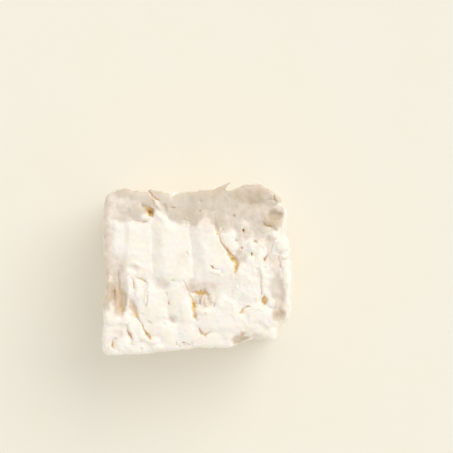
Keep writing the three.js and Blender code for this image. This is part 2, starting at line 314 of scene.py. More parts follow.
# Splits: the points of each with half width and depth there
SPLITS = [
    [(5.8, 20.1, 0.4, 0.3), (6.9, 17.0, 0.65, 0.9), (7.7, 14.3, 0.75, 2.2), (8.2, 12.8, 0.3, 1.6), (8.9, 10.6, 0.5, 2.2), (10.2, 8.5, 0.65, 2.2), (12.0, 5.6, 1.3, 2.8), (13.5, 3.8, 1.7, 2.9), (14.7, 2.1, 1.1, 2.8), (14.4, 0.1, 0.9, 3.0), (14.2, -1.5, 0.5, 1.8)],
    [(9.5, 15.2, 0.2, 1.2), (7.7, 13.3, 0.45, 2.4)],
    [(-20.8, 24.1, 0.4, 1.0), (-19.6, 22.9, 1.1, 1.8), (-18.4, 21.9, 1.7, 3.0), (-17.5, 21.1, 1.9, 4.4), (-16.9, 20.1, 1.1, 3.4), (-16.6, 19.2, 0.4, 1.6)],
    [(-20.6, 24.0, 0.3, 1.2), (-18.6, 23.1, 0.7, 2.0), (-16.8, 22.2, 0.7, 3.4)],
    [(-5.0, -4.6, 0.5, 0.6), (-4.2, -6.2, 0.6, 1.2), (-3.0, -8.7, 0.45, 1.4), (-2.0, -10.8, 0.45, 1.6), (-1.2, -12.8, 1.1, 2.2), (-1.1, -14.5, 1.2, 2.4), (-1.3, -16.3, 0.7, 2.2), (-0.4, -17.9, 0.8, 2.3), (0.4, -19.3, 0.3, 1.2)],
    [(-1.8, -8.7, 0.7, 1.8), (-0.7, -8.5, 1.2, 2.6), (0.3, -9.3, 0.9, 2.5), (1.0, -8.5, 1.1, 2.8), (1.9, -9.3, 1.0, 2.8), (2.8, -8.3, 1.2, 2.8), (3.8, -9.3, 0.9, 2.2), (4.6, -9.2, 0.4, 1.2)],
    [(2.7, -8.2, 0.6, 2.4), (3.3, -6.6, 0.25, 1.0)],
    [(0.3, -9.2, 0.35, 1.8), (0.5, -11.0, 0.35, 1.5), (0.3, -12.8, 0.2, 0.8)],
    [(1.4, -9.2, 0.35, 1.8), (1.5, -12.4, 0.25, 1.2)],
    [(2.8, -9.0, 0.4, 1.8), (3.1, -12.4, 0.25, 1.2)],
    [(4.0, -9.4, 0.35, 1.6), (4.4, -11.6, 0.25, 1.0)],
    [(1.2, -22.4, 0.6, 1.8), (1.8, -23.8, 0.8, 2.5), (2.8, -24.5, 0.7, 2.4), (3.8, -23.8, 0.4, 2.0), (5.3, -23.2, 0.25, 1.0)],
    [(-24.9, -11.5, 0.6, 0.8), (-23.8, -14.2, 1.4, 1.5), (-22.6, -17.0, 1.3, 2.1), (-21.1, -19.4, 0.6, 2.1), (-19.8, -21.8, 0.5, 2.1), (-18.6, -24.2, 0.9, 2.6), (-17.4, -26.0, 0.8, 2.3)],
    [(-29.5, -0.9, 0.6, 1.2), (-29.2, -4.0, 0.6, 1.2), (-28.9, -8.0, 0.9, 1.2), (-28.6, -12.0, 1.2, 1.4), (-28.3, -15.6, 1.2, 1.4), (-28.3, -16.6, 0.8, 0.9)],
    [(-26.9, -8.5, 0.3, 0.5), (-26.7, -12.0, 0.4, 0.8), (-26.9, -15.2, 0.3, 0.5)],
    [(-30.9, -7.6, 0.4, 1.2), (-31.1, -11.6, 0.4, 1.2), (-30.7, -13.7, 0.3, 0.8)],
    [(-26.0, -20.3, 0.25, 1.2), (-25.4, -22.4, 0.25, 1.6), (-25.7, -23.2, 0.7, 2.1), (-25.0, -24.8, 0.7, 2.3), (-24.5, -25.8, 0.35, 1.4)],
    [(-23.8, -3.2, 0.35, 1.6), (-23.3, -5.2, 0.4, 2.0), (-23.5, -7.1, 0.3, 1.2)],
    [(-22.4, -2.6, 0.25, 1.0), (-20.4, -3.2, 0.4, 2.0), (-19.1, -4.3, 0.4, 1.8), (-18.2, -6.0, 0.25, 0.8), (-17.6, -7.6, 0.2, 0.5)],
    [(-18.4, -8.4, 0.25, 1.0), (-18.4, -11.0, 0.4, 2.0), (-18.9, -13.2, 0.35, 1.8), (-19.2, -14.6, 0.2, 1.0)],
    [(-18.1, 28.8, 0.5, 1.6), (-16.5, 27.3, 0.8, 2.2), (-14.8, 25.9, 0.8, 2.6), (-13.8, 25.2, 0.4, 1.4)],
    [(-23.8, 18.1, 0.25, 1.0), (-21.3, 17.8, 0.4, 1.9), (-18.3, 17.8, 0.35, 1.6)],
    [(4.6, 1.6, 0.4, 1.2), (5.5, 1.0, 0.6, 2.2), (6.2, 0.4, 0.25, 1.2), (7.8, 0.1, 0.2, 1.1), (8.9, -0.8, 0.3, 1.4), (9.4, -1.8, 0.3, 1.2)],
    [(25.4, 25.5, 0.2, 0.7), (27.6, 25.9, 0.4, 1.3), (28.9, 25.7, 0.45, 1.6), (29.8, 25.2, 0.2, 0.8)],
    [(28.9, 27.4, 0.2, 0.8), (29.0, 25.7, 0.4, 1.8)],
    [(24.9, 17.6, 0.3, 1.2), (26.2, 16.2, 0.4, 1.6), (27.6, 14.9, 0.3, 1.0)],
    [(29.6, 6.2, 0.2, 0.8), (31.1, 5.8, 0.2, 1.2), (33.2, 5.4, 0.2, 0.8)],
    [(28.2, 12.2, 0.35, 1.0), (27.9, 8.5, 0.4, 1.4), (27.5, 5.4, 0.3, 1.0)],
    [(29.9, 5.4, 0.25, 1.0), (30.6, 2.2, 0.35, 1.4), (31.2, 0.1, 0.3, 1.2), (32.1, -2.0, 0.2, 0.8)],
    [(23.1, 0.1, 0.2, 0.8), (23.6, -3.1, 0.25, 1.2), (23.7, -6.8, 0.25, 1.2), (24.0, -9.4, 0.3, 1.4)],
    [(26.1, 5.4, 0.3, 1.2), (25.3, 3.3, 0.6, 2.8), (24.9, 2.3, 0.3, 1.2)],
    [(16.3, -16.4, 0.5, 1.6), (17.1, -15.7, 0.7, 2.4), (17.4, -14.4, 0.4, 1.8), (18.6, -13.7, 0.6, 2.2), (19.9, -13.9, 0.3, 1.2)],
    [(-1.2, -10.6, 0.2, 0.8), (1.4, -9.7, 0.15, 0.5)],
    [(-3.3, -26.6, 0.25, 1.4), (-6.0, -27.7, 0.25, 1.6), (-8.1, -28.1, 0.25, 1.4)],
    [(-5.3, -28.5, 0.25, 1.4), (-3.8, -27.7, 0.3, 1.8), (-2.4, -28.0, 0.25, 1.4)],
    [(-29.8, -25.7, 0.35, 0.8), (-31.1, -26.6, 0.5, 1.3), (-31.5, -28.3, 0.95, 2.6), (-31.2, -28.9, 0.5, 1.4)],
]

# Front edge of the smooth, darker band along the back of the top, partly a greyer layer of the curd and partly
# painted shade: x, y
SKIN_AND_SHADE_EDGE = [
    (-36, 18), (-17.3, 17.8), (-16.5, 20.5), (-14.5, 21.6), (-10.5, 18.2), (-9, 17.6), (-4.5, 17.2), (-2.4, 15.6),
    (-0.8, 16), (0.5, 18.4), (3.5, 19.2), (5.5, 17), (7.5, 13.8), (9, 15), (12, 14.8), (15, 13), (19, 12),
    (22, 10.3), (25, 10), (27, 10), (29, 12), (30.4, 15), (36, 15.5),
]

# Darker or lighter patches of the top, partly the curd's own tone and partly painted shade and painted light: x, y,
# half width, half length, turn, amount, softness
TONES_AND_SHADE = [
    (-29.8, 0.0, 3.4, 6.4, 0, 0.45, 0.5),
    (-29.2, -9.4, 3.4, 8.0, 3, 0.52, 0.3),
    (-29.0, -11.6, 2.8, 5.6, 2, 0.55, 0.4),
    (-23.4, -14.2, 1.7, 3.6, 22, 0.7, 0.5),
    (-13.8, -5.7, 3.4, 2.2, -8, 0.45, 0.6),
    (-2.9, 22.0, 1.5, 6.0, 0, 0.12, 0.8),
    (21.4, 25.6, 3.4, 2.0, 0, 0.35, 0.9),
    (28.8, 19.2, 2.2, 3.2, 0, 0.35, 0.5),
    (26.8, 4.0, 3.0, 3.0, 0, 0.2, 0.7),
    (29.4, 20.1, 2.8, 1.5, -6, 0.45, 0.4),
    (26.0, 17.4, 1.3, 1.5, 0, 0.25, 0.6),
    (31.6, 19.4, 1.2, 4.0, 0, 0.15, 0.6),
    (-1.0, -7.4, 1.6, 2.4, 20, 0.4, 0.6),
    (15.6, 11.4, 2.2, 4.4, -10, 0.25, 0.5),
    (16.2, 4.8, 2.4, 2.8, 0, 0.7, 0.5),
    (30.0, -8.8, 2.6, 8.4, 6, 0.8, 0.5),
    (30.8, -17.2, 2.6, 2.0, 0, 0.8, 0.5),
    (3.2, -6.0, 7.0, 2.4, 0, 0.4, 0.6),
    (2.4, -11.2, 4.0, 3.4, 0, 0.65, 0.4),
    (-14.4, 10.6, 1.9, 9.0, 2, 0.25, 0.8),
    (-0.6, 9.0, 1.9, 7.0, 4, 0.15, 0.8),
    (3.6, 15.6, 2.8, 4.2, 10, 0.3, 0.7),
    (15.6, -26.3, 3.4, 1.8, 16, 1.05, 0.5),
    (21.5, -25.2, 3.4, 0.9, 0, 0.5, 0.5),
    (-5.5, 4.2, 3.0, 3.6, 0, 0.28, 0.8),
    (-23.0, 3.5, 2.0, 5.0, 0, 0.2, 0.8),
    (-20.5, -5.6, 1.6, 3.0, 0, 0.2, 0.7),
    (-19.0, -26.6, 12.0, 2.4, 3, 0.12, 0.8),
    (3.0, -27.2, 8.0, 2.0, 4, 0.2, 0.8),
    (-30.5, -24.5, 3.0, 3.6, 0, 0.15, 0.7),
    (-4.4, -6.6, 0.9, 2.6, 25, 0.35, 0.6),
    (-34.0, 20.0, 1.5, 8.0, 0, 0.15, 0.6),
    (33.6, 4.0, 1.5, 6.0, 0, 0.2, 0.7),
    (-29.6, -23.8, 1.8, 2.2, 0, 0.4, 0.7),
    (-21.5, -27.2, 2.4, 1.1, 0, 0.3, 0.7),
    (26.8, 8.0, 1.5, 4.0, 0, 0.35, 0.7),
    (29.6, 3.0, 3.0, 3.2, 0, 0.3, 0.7),
    (-1.6, -6.2, 1.7, 2.6, 20, 0.35, 0.6),
    (-31.8, -9.0, 1.8, 7.5, 0, 0.12, 0.5),
    (-9.4, -18.6, 1.3, 1.7, 38, 0.6, 0.7),
    # lighter: partly paler curd, partly painted light
    (-31.0, 24.0, 3.4, 5.5, 0, -0.4, 0.6),
    (-9.0, 20.5, 4.0, 2.2, 0, -0.2, 0.7),
    (18.0, 19.0, 5.0, 4.0, 0, -0.2, 0.7),
    (24.5, 13.0, 3.0, 3.0, 0, -0.3, 0.7),
    (5.0, 22.5, 3.6, 2.6, 0, -0.15, 0.8),
    (-19.6, 19.3, 1.8, 1.0, 0, -0.55, 0.5),
    (-13.7, 19.4, 1.6, 4.6, 38, -0.3, 0.7),
    (-14.6, 25.0, 0.9, 1.7, 25, -0.4, 0.6),
    (30.2, 23.2, 1.6, 1.2, 0, -0.6, 0.5),
    (27.2, 12.5, 2.3, 1.2, 0, -0.5, 0.5),
    (25.4, 21.8, 1.6, 2.0, 0, -0.25, 0.6),
    (-27.0, 24.6, 3.4, 4.4, 0, -0.2, 0.7),
    (14.6, -4.4, 3.8, 3.2, 0, -0.35, 0.8),
    (-8.6, -13.2, 3.4, 3.4, 0, -0.2, 0.8),
    (17.6, 16.0, 2.4, 1.8, 0, -0.3, 0.7),
]

# Small beads on the surface: x, y, radius, height
BEADS = [
    (-3.6, 19.2, 0.45, 0.5), (-3.5, 17.8, 0.5, 0.5), (-3.0, 16.4, 0.5, 0.5), (18.1, 19.2, 0.3, 0.45),
    (18.5, 18.6, 0.2, 0.3), (0.5, 24.7, 0.5, 0.35), (7.9, 25.4, 0.4, 0.3), (-4.9, -26.9, 0.4, 0.4),
    (-3.0, -27.0, 0.3, 0.35), (-6.5, -28.2, 0.3, 0.3), (-4.4, -28.5, 0.3, 0.35), (-1.2, -27.7, 0.4, 0.3),
    (26.6, 28.7, 0.6, 0.4), (27.9, 27.6, 0.5, 0.35),
]


def turned(cx, cy, rx, ry, turn, x, y):
    t = math.radians(turn)
    dx, dy = x - cx, y - cy
    return (dx * math.cos(t) + dy * math.sin(t)) / rx, (dy * math.cos(t) - dx * math.sin(t)) / ry


def split(path, x, y):
    """Depth of a split whose half width and depth change along its path."""
    out = np.zeros_like(x)
    for (ax, ay, aw, ad), (bx, by, bw, bd) in zip(path, path[1:]):
        dx, dy = bx - ax, by - ay
        t = np.clip(((x - ax) * dx + (y - ay) * dy) / (dx * dx + dy * dy), 0, 1)
        away = np.hypot(x - ax - t * dx, y - ay - t * dy)
        out = np.maximum(out, (ad + (bd - ad) * t) * (1 - smooth(0.25, 1.25, away / (SPLIT_WIDTH * (aw + (bw - aw) * t)))))
    return out


def skin_and_shade_top(x, y):
    """How dark and smooth the top is: most so along the back, and at the left edge and in hollows. The darkness is
    partly a greyer layer of the curd and partly painted shade, and the lighter patches are painted light.
    """
    n = 1.4 * noise2(x / 3.5, y / 3.5, 61) + 0.9 * noise2(x / 1.3, y / 1.3, 62)
    edge = np.interp(x, [p[0] for p in SKIN_AND_SHADE_EDGE], [p[1] for p in SKIN_AND_SHADE_EDGE])
    # painted shade mixed with a greyer layer of the curd: a band along the back of the top and a strip down the left
    # edge
    back = smooth(-2.0, 2.0, y - edge + 0.8 * n) + 0.25 * smooth(25, 29, y)
    left = (0.6 + 0.3 * (1 - smooth(0, 8, y))) * smooth(-1.4, 1.4, -31.8 - x + 0.6 * n) * smooth(-17, -14, y)
    out = np.maximum(0.85 * back, left)
    # darker and lighter patches: partly the curd's own tone, partly painted shade and painted light
    for cx, cy, rx, ry, turn, amount, soft in TONES_AND_SHADE:
        u, v = turned(cx, cy, rx, ry, turn, x + 0.5 * n, y + 0.4 * n)
        out = out + amount * (1 - smooth(1 - soft, 1 + soft, np.hypot(u, v)))
    return np.clip(out, 0, 1.25)


def relief(x, y):
    """Height of the top without and with its pits and splits."""
    wx = x + 0.45 * noise2(x / 3.1, y / 3.1, 11) + 0.2 * noise2(x / 1.1, y / 1.1, 12)
    wy = y + 0.45 * noise2(x / 3.1, y / 3.1, 13) + 0.2 * noise2(x / 1.1, y / 1.1, 14)
    # folds and lumps grow into one another: the highest wins, with a crease in between
    power, pile = 4, np.zeros_like(x)
    for cx, cy, rx, ry, turn, high, crest, foot in RIDGES:
        u, v = turned(cx, cy, rx, ry, turn, wx, wy)
        rise = smooth(-1.05, crest, u)
        fall = 1 - (1 - foot) * np.clip((u - crest) / (1 - crest), 0, 1.3)
        shape = rise * np.clip(fall, 0, 1) * (1 - smooth(1.0, 1.2, u)) * (1 - smooth(0.6, 1.15, np.abs(v)))
        pile += (high * shape) ** power
    for cx, cy, rx, ry, turn, high, soft in LUMPS:
        u, v = turned(cx, cy, rx, ry, turn, wx, wy)
        r = (np.abs(u) ** 2.6 + np.abs(v) ** 2.6) ** (1 / 2.6)
        pile += (high * (1 - smooth(1 - soft, 1 + soft, r)) * (1 - 0.16 * np.minimum(r, 1) ** 2)) ** power
    z = PLATEAU - 0.7 + pile ** (1 / power)
    for cx, cy, rx, ry, turn, deep, soft in HOLLOWS:
        u, v = turned(cx, cy, rx, ry, turn, wx, wy)
        z = z - deep * (1 - smooth(1 - soft, 1 + soft, np.hypot(u, v)))
    for cx, cy, rx, ry, turn, high, soft in SMALL:
        u, v = turned(cx, cy, rx, ry, turn, wx, wy)
        z = z + high * (1 - smooth(1 - soft, 1 + soft, np.hypot(u, v)))
    rough = np.clip(1 - 0.65 * skin_and_shade_top(x, y), 0.2, 1)
    right = smooth(8, 20, x)
    z = z + (0.4 + 0.6 * right) * rough * plates(wx, wy, 4.6, 31, 0.07, 0.1, 0.0, 0.2)
    z = z + (0.2 + 0.8 * right) * rough * plates(wx, wy, 2.0, 41, 0.10, 0.07, 0.0, 0.12)
    z = z + 0.07 * cloud2(x / 3.4, y / 3.4, 51)
    for cx, cy, r, high in BEADS:
        d = np.hypot(wx - cx, wy - cy) / r
        z = z + high * np.sqrt(np.clip(1.2 - d * d, 0, 1.2))
    cut = np.zeros_like(x)
    ragged = 0.3 * noise2(x / 0.9, y / 0.9, 15) + 0.15 * noise2(x / 0.45, y / 0.45, 16)
    for cx, cy, rx, ry, turn, deep, soft in PITS:
        u, v = turned(cx, cy, rx, ry, turn, wx, wy)
        cut = np.maximum(cut, deep * (1 - smooth(1 - soft, 1 + soft, np.abs(u) ** 1.4 + np.abs(v) ** 1.4 + ragged)))
    gap = np.zeros_like(x)
    for path in SPLITS:
        gap = np.maximum(gap, split(path, wx, wy))
    return z, z - cut - SPLIT_DEPTH * gap


# ---------------------------------------------------------------- sides

# Outline near the top, along each side: position along the side, then how far out it stands
LEFT = [(-31, -35.2), (-17, -35.1), (-14.6, -35.3), (-12.9, -35.9), (-10, -34.4), (-2, -33.9), (8.5, -34.8), (19, -35.3), (26.5, -34.8)]
RIGHT = [(-26, 35.2), (-17.9, 35.2), (-15.3, 35.7), (-11.6, 34.7), (-7.3, 34.5), (-3.1, 35.4), (1.1, 35.2), (4.8, 34.5), (7.5, 34.9), (10.6, 34.4), (12.4, 31.2), (15.4, 31.9), (19.7, 32.6), (23.6, 33.0)]
BACK = [(-32.4, 28.9), (-29, 30.2), (-27, 30.6), (-23.4, 29.6), (-20, 29.3), (-17.3, 30.3), (-15.7, 29.3), (-12.3, 28.6), (-10, 28.0), (-8.9, 26.6), (-6.5, 28.6), (-3.8, 29.4), (1.4, 29.7), (6.2, 30.3), (13.1, 29.8), (15.2, 30.7), (18.4, 31.4), (23.7, 32.0), (26.6, 31.2), (32, 30.4)]
FRONT = [(-32.4, -32.5), (-27.1, -32.2), (-22.4, -31.5), (-17.6, -31.1), (-8.1, -30.6), (-0.7, -29.9), (7.8, -29.2), (12.6, -29.2), (15.2, -28.2), (18.4, -26.8), (21, -25.2), (25.3, -25.7), (27.9, -26.8), (33, -27.4)]
BASE_LEFT, BASE_RIGHT = -34.9, 34.6  # where the sides stand at the base
BASE_BACK, BASE_BACK_SLOPE = 29.6, 0.03
BASE_FRONT, BASE_FRONT_SLOPE = -30.0, 0.0733
BACK_RIGHT_CUT = 41.3
BROKEN_X, BROKEN_Y, BROKEN_SLOPE, BROKEN_FLARE, BROKEN_ROUND = 29.8, -21.0, 0.55, 1.6, 1.8


def wave(s, z, p):
    return 0.32 * np.sin(0.19 * s + 0.24 * z + p) + 0.22 * np.sin(0.43 * s - 0.31 * z + 2.3 * p)


def outline(points, s, z, base, seed):
    """A side's place over its length s and height z: the measured outline on top, a plainer one at the base."""
    share = smooth(0.42 * PLATEAU, 0.95 * PLATEAU, z)
    line = np.interp(s, [p[0] for p in points], [p[1] for p in points])
    line = line + 0.22 * noise2(s / 1.7, z / 2.6, seed) + 0.12 * noise2(s / 0.7, z / 1.2, seed + 1)
    return base + share * (line - base)


def side_cuts(s, z, length, seed):
    """Openings of a cut side: ragged slits between the curd's layers, and groups of small eyes."""
    rng = np.random.default_rng(seed)
    ws = s + 0.7 * noise2(s / 2.3, z / 2.3, seed + 2) + 0.3 * noise2(s / 0.8, z / 0.8, seed + 3)
    wz = z + 0.7 * noise2(s / 2.3, z / 2.3, seed + 4) + 0.3 * noise2(s / 0.8, z / 0.8, seed + 5)
    cut = np.zeros_like(s)
    for _ in range(11):
        cs, cz = rng.uniform(-length, length), rng.uniform(4, 38)
        for _ in range(rng.integers(1, 4)):
            run, turn = rng.uniform(0.8, 3.4), rng.normal(0, 0.4)
            half, deep = rng.uniform(0.2, 0.7), rng.uniform(0.5, 1.6)
            du, dv = ws - cs, wz - cz
            u = (du * math.cos(turn) + dv * math.sin(turn)) / run
            v = (dv * math.cos(turn) - du * math.sin(turn)) - rng.uniform(-0.8, 0.8) * u * u
            w = half * np.sqrt(np.clip(1 - u * u, 0.0, 1)) + 0.02
            cut = np.maximum(cut, deep * (1 - smooth(0.2, 1.5, np.abs(v) / w)) * (1 - smooth(0.6, 1.0, np.abs(u))))
            cs, cz = cs + rng.normal(0, 2.0), cz + rng.normal(0, 1.3)
    for _ in range(16):
        cs, cz = rng.uniform(-length, length), rng.uniform(2, 40)
        for _ in range(rng.integers(1, 6)):
            r, flat, deep = rng.uniform(0.25, 0.8), rng.uniform(0.5, 1.0), rng.uniform(0.3, 1.1)
            d = np.hypot((ws - cs) / r, (wz - cz) / (r * flat))
            cut = np.maximum(cut, deep * (1 - smooth(0.3, 1.5, d)))
            cs, cz = cs + rng.normal(0, 1.6), cz + rng.normal(0, 1.2)
    return cut


def side_relief(s, z, seed):
    """Uneven face of a side: the smooth drag of the knife, and patches where crumbs came away."""
    ws = s + 0.6 * noise2(s / 2.9, z / 2.9, seed + 6) + 0.25 * noise2(s / 1.1, z / 1.1, seed + 7)
    wz = z + 0.6 * noise2(s / 2.9, z / 2.9, seed + 8) + 0.25 * noise2(s / 1.1, z / 1.1, seed + 9)
    torn = smooth(0.50, 0.62, 0.5 + 0.5 * cloud2(s / 8.5, z / 5.5, seed + 10, 2) + 0.22 * smooth(33, 43, z))
    out = 0.12 * cloud2(s / 6.0, z / 3.2, seed + 12)
    out = out - 0.45 * torn + 0.9 * torn * plates(ws, wz * 1.2, 3.6, seed + 20, 0.16, 0.3, 0.0, 0.12)
    return out + (0.25 + 0.6 * torn) * plates(ws, wz, 1.7, seed + 30, 0.14, 0.07, 0.02, 0.09)


# ---------------------------------------------------------------- the field

xs = np.arange(-38.4, 38.41, STEP, dtype=np.float32)
ys = np.arange(-35.2, 35.21, STEP, dtype=np.float32)
zs = np.arange(-0.97, 47.4, STEP, dtype=np.float32)


def field():
    """The block without its pits and splits, and with them: below zero inside."""
    gx, gy = np.meshgrid(xs, ys, indexing="ij")
    yy, yz = np.meshgrid(ys, zs, indexing="ij")
    xx, xz = np.meshgrid(xs, zs, indexing="ij")
    plain_top, cut_top = relief(gx, gy)
    faces = {}
    for name, points, s, z, base, seed, length, sign in (
        ("left", LEFT, yy, yz, BASE_LEFT, 101, 27, -1),
        ("right", RIGHT, yy, yz, BASE_RIGHT, 201, 27, 1),
        ("back", BACK, xx, xz, BASE_BACK + BASE_BACK_SLOPE * xx, 301, 31, 1),
        ("front", FRONT, xx, xz, BASE_FRONT + BASE_FRONT_SLOPE * xx, 401, 31, -1),
    ):
        place = outline(points, s, z, base, seed) + sign * ((1 - 0.65 * smooth(37, 42, z)) * side_relief(s, z, seed) + 0.75 * wave(s, z, seed % 7))
        faces[name] = (place, place - sign * side_cuts(s, z, length, seed))
    x, y, z = xs[:, None, None], ys[None, :, None], zs[None, None, :]
    flare = BROKEN_FLARE * (1 - z / PLATEAU)
    rough_y = 0.6 * plates(yy * 1.0, yz * 1.0, 3.4, 511, 0.16, 0.35, 0.0, 0.15) + 0.5 * wave(yy, yz, 1.3)
    rough_x = 0.6 * plates(xx * 1.0, xz * 1.0, 3.4, 521, 0.16, 0.35, 0.0, 0.15) + 0.5 * wave(xx, xz, 4.4)
    back_wall = (y - BROKEN_Y - BROKEN_SLOPE * (x - BROKEN_X)) / math.hypot(1, BROKEN_SLOPE)
    broken = round_max(BROKEN_X + flare + rough_y[None] - x, back_wall + flare + rough_x[:, None], 2.4)
    foot = BASE_ROUND * (1 - smooth(0, 1.2, z)) ** 2
    out = []
    for pick, top in ((0, plain_top), (1, cut_top)):
        left = faces["left"][pick][None] - x
        right = x - faces["right"][pick][None]
        back = y - faces["back"][pick][:, None]
        front = faces["front"][pick][:, None] - y
        d = round_max(round_max(left, right, CORNER_ROUND), round_max(front, back, CORNER_ROUND), CORNER_ROUND)
        d = round_max(d, (x + y) * math.sqrt(0.5) - BACK_RIGHT_CUT, CORNER_ROUND)
        d = round_max(d, -broken, BROKEN_ROUND)
        d = round_max(d + foot, z - top[:, :, None], EDGE_ROUND)
        out.append(d.astype(np.float32))
    # a thin flake that stands out of the back edge
    ax, ay, az, bx, by, bz = 8.0, 29.2, 42.4, 12.4, 32.3, 43.2
    i0, i1 = np.searchsorted(xs, (5, 15))
    j0, j1 = np.searchsorted(ys, (26, 34.5))
    k0, k1 = np.searchsorted(zs, (39, 46))
    fx, fy, fz = x[i0:i1], y[:, j0:j1], z[:, :, k0:k1]
    ux, uy, uz = bx - ax, by - ay, bz - az
    t = np.clip(((fx - ax) * ux + (fy - ay) * uy + (fz - az) * uz) / (ux * ux + uy * uy + uz * uz), 0, 1)
    away = np.sqrt((fx - ax - t * ux) ** 2 + (fy - ay - t * uy) ** 2 + (1.3 * (fz - az - t * uz)) ** 2)
    flake = away - (1.3 - 1.05 * t)
    for d in out:
        part = d[i0:i1, j0:j1, k0:k1]
        d[i0:i1, j0:j1, k0:k1] = -round_max(-part, -flake, 0.8)
    for d in out:
        np.maximum(d, -z, out=d)
    return out


def settle(f):
    """Fills the few places where the surface would touch itself along an edge."""
    for _ in range(12):
        inside, found = f < 0, 0
        for u, v in ((0, 1), (0, 2), (1, 2)):
            four = []
            for a, b in ((0, 0), (1, 1), (0, 1), (1, 0)):
                at = [slice(None)] * 3
                at[u], at[v] = slice(a, f.shape[u] - 1 + a), slice(b, f.shape[v] - 1 + b)
                four.append(inside[tuple(at)])
            where = np.argwhere((four[0] == four[1]) & (four[2] == four[3]) & (four[0] != four[2]))
            found += len(where)
            for a, b in ((0, 0), (1, 1), (0, 1), (1, 0)):
                c = where.copy()
                c[:, u] += a
                c[:, v] += b
                c = tuple(c.T)
                f[c] = np.where(f[c] >= 0, -0.02, f[c])
        if not found:
            break
    return f


def surface(f):
    """A closed mesh of quads where the field is zero."""
    n = [s - 1 for s in f.shape]
    inside = f < 0
    count = np.zeros(n, dtype=np.int8)
    corners = [(a, b, c) for a in (0, 1) for b in (0, 1) for c in (0, 1)]
    for a, b, c in corners:
        count += inside[a : a + n[0], b : b + n[1], c : c + n[2]]
    active = (count > 0) & (count < 8)
    cell = np.full(n, -1, dtype=np.int64)
    where = np.argwhere(active)
    cell[active] = np.arange(len(where))
    total, hits = np.zeros((len(where), 3)), np.zeros(len(where))
    for p in corners:
        for axis in range(3):
            if p[axis]:
                continue
            q = tuple(1 if i == axis else p[i] for i in range(3))
            fa = f[tuple((where + p).T)].astype(np.float64)
            fb = f[tuple((where + q).T)].astype(np.float64)
            m = (fa < 0) != (fb < 0)
            t = fa[m] / (fa[m] - fb[m])
            total[m] += np.array(p, dtype=float) + t[:, None] * (np.array(q, dtype=float) - np.array(p, dtype=float))
            hits[m] += 1
    verts = (where + total / hits[:, None]) * STEP + (xs[0], ys[0], zs[0])
    quads = []
    for axis in range(3):
        u, v = (axis + 1) % 3, (axis + 2) % 3
        lo = [slice(None)] * 3
        hi = [slice(None)] * 3
        lo[axis], hi[axis] = slice(0, -1), slice(1, None)
        for s in (lo, hi):
            s[u] = s[v] = slice(1, -1)
        a, b = inside[tuple(lo)], inside[tuple(hi)]
        for out, m in ((True, a & ~b), (False, b & ~a)):
            at = np.argwhere(m)
            at[:, u] += 1
            at[:, v] += 1
            ring = []
            for du, dv in ((-1, -1), (0, -1), (0, 0), (-1, 0)):
                c = at.copy()
                c[:, u] += du
                c[:, v] += dv
                ring.append(cell[tuple(c.T)])
            quads.append(np.stack(ring if out else ring[::-1], axis=1))
    return verts, np.concatenate(quads)


def largest(verts, quads):
    """The largest connected part, so that no crumb floats free."""
    label = np.arange(len(verts))
    pairs = np.concatenate([quads[:, [0, 1]], quads[:, [1, 2]], quads[:, [2, 3]]])
    while True:
        low = np.minimum(label[pairs[:, 0]], label[pairs[:, 1]])
        new = label.copy()
        np.minimum.at(new, pairs[:, 0], low)
        np.minimum.at(new, pairs[:, 1], low)
        new = new[new]
        new = new[new]
        if (new == label).all():
            break
        label = new
    keep = label == np.bincount(label).argmax()
    index = np.cumsum(keep) - 1
    return verts[keep], index[quads[keep[quads[:, 0]]]]


def sample(f, p):
    """The field at points in between, by straight lines."""
    g = (p - (xs[0], ys[0], zs[0])) / STEP
    i = np.clip(np.floor(g).astype(int), 0, np.array(f.shape) - 2)
    t = g - i
    out = 0
    for a in (0, 1):
        for b in (0, 1):
            for c in (0, 1):
                part = (t[:, 0] if a else 1 - t[:, 0]) * (t[:, 1] if b else 1 - t[:, 1]) * (t[:, 2] if c else 1 - t[:, 2])
                out = out + part * f[i[:, 0] + a, i[:, 1] + b, i[:, 2] + c]
    return out


def mesh_of(name, verts, faces):
    mesh = bpy.data.meshes.new(name)
    k = faces.shape[1]
    mesh.vertices.add(len(verts))
    mesh.vertices.foreach_set("co", verts.astype(np.float32).ravel())
    mesh.loops.add(faces.size)
    mesh.loops.foreach_set("vertex_index", faces.astype(np.int32).ravel())
    mesh.polygons.add(len(faces))
    mesh.polygons.foreach_set("loop_start", np.arange(0, faces.size, k, dtype=np.int32))
    mesh.update(calc_edges=True)
    return mesh


def read(mesh, what):
    n = len(mesh.vertices)
    out = np.empty(n * 3, dtype=np.float32)
    mesh.vertices.foreach_get(what, out)
    return out.reshape(n, 3).astype(np.float64)


